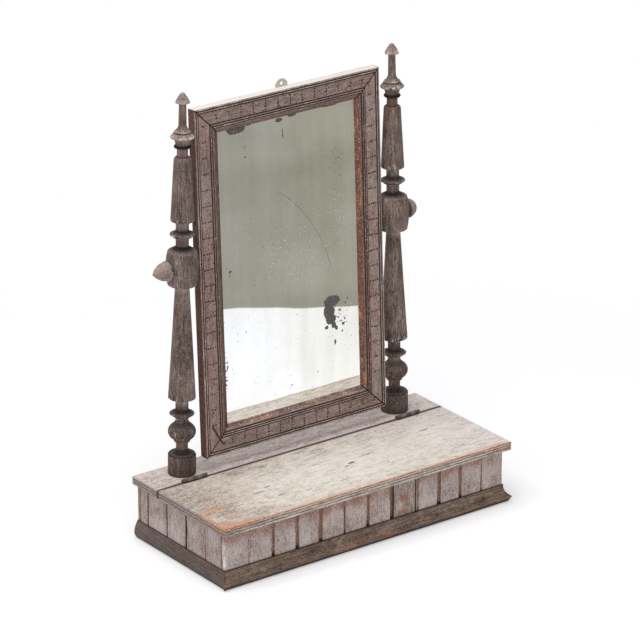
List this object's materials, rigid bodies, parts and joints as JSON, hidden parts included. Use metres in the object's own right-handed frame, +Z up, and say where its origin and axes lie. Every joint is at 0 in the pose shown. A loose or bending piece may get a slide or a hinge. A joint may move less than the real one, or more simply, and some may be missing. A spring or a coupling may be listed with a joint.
{
  "type": "table mirror",
  "caption": "Wooden table mirror: a moulded frame tilts between turned columns on a low box with a cove plinth and a hinged lid.",
  "frame": {"origin": "on the table, under the middle of the top boards", "axes": "+Z up, +Y to the back, +X to the right as the user faces the mirror"},
  "size_m": [0.405, 0.179, 0.5221],
  "materials": {
    "top_wood": "worn pale wash",
    "box_wood": "worn grey-brown wash",
    "turned_wood": "weathered, dry",
    "frame_wood": "weathered stain",
    "bare_wood": "bare, aged",
    "silvered_glass": "old silvering with loss",
    "iron": "aged, dull"
  },
  "bodies": {
    "base": {"bottom_board": "bare_wood", "front_wall": "box_wood", "back_wall": "box_wood", "left_wall": "box_wood", "right_wall": "box_wood", "repair_block": "box_wood", "plinth_front": "box_wood", "plinth_left": "box_wood", "plinth_right": "box_wood", "top_strip": "top_wood", "left_column": "turned_wood", "right_column": "turned_wood", "left_finial": "turned_wood", "right_finial": "turned_wood", "left_hinge_strip_leaf": "iron", "right_hinge_strip_leaf": "iron", "left_hinge_pin": "iron", "right_hinge_pin": "iron", "hinge_strip_screws": "iron", "wall_nails": "iron", "bottom_nails": "iron", "plinth_nails": "iron", "strip_nails": "iron"},
    "lid": {"lid": "top_wood", "left_hinge_lid_leaf": "iron", "right_hinge_lid_leaf": "iron", "hinge_lid_screws": "iron"},
    "mirror": {"frame_top_rail": "frame_wood", "frame_bottom_rail": "frame_wood", "frame_left_stile": "frame_wood", "frame_right_stile": "frame_wood", "mirror_glass": "silvered_glass", "backboard": "bare_wood", "backboard_sprigs": "iron", "mitre_pins": "iron", "mitre_wire": "iron", "hanging_tab": "iron", "tab_nails": "iron"},
    "left_knob": {"left_pivot_screw": "turned_wood"},
    "right_knob": {"right_pivot_screw": "turned_wood"}
  },
  "joints": [
    {"name": "lid_open", "type": "hinge", "parent": "base", "child": "lid", "pos_m": [0, 0.0392, 0.07725], "axis": [-1, 0, 0], "range_deg": [0, 90]},
    {"name": "mirror_tilt", "type": "hinge", "parent": "base", "child": "mirror", "pos_m": [0, 0.064, 0.3205], "axis": [1, 0, 0], "range_deg": [-2.2, 40]},
    {"name": "left_knob_turn", "type": "hinge", "parent": "base", "child": "left_knob", "pos_m": [0, 0.064, 0.3205], "axis": [1, 0, 0], "range_deg": [-180, 180]},
    {"name": "right_knob_turn", "type": "hinge", "parent": "base", "child": "right_knob", "pos_m": [0, 0.064, 0.3205], "axis": [1, 0, 0], "range_deg": [-180, 180]}
  ]
}
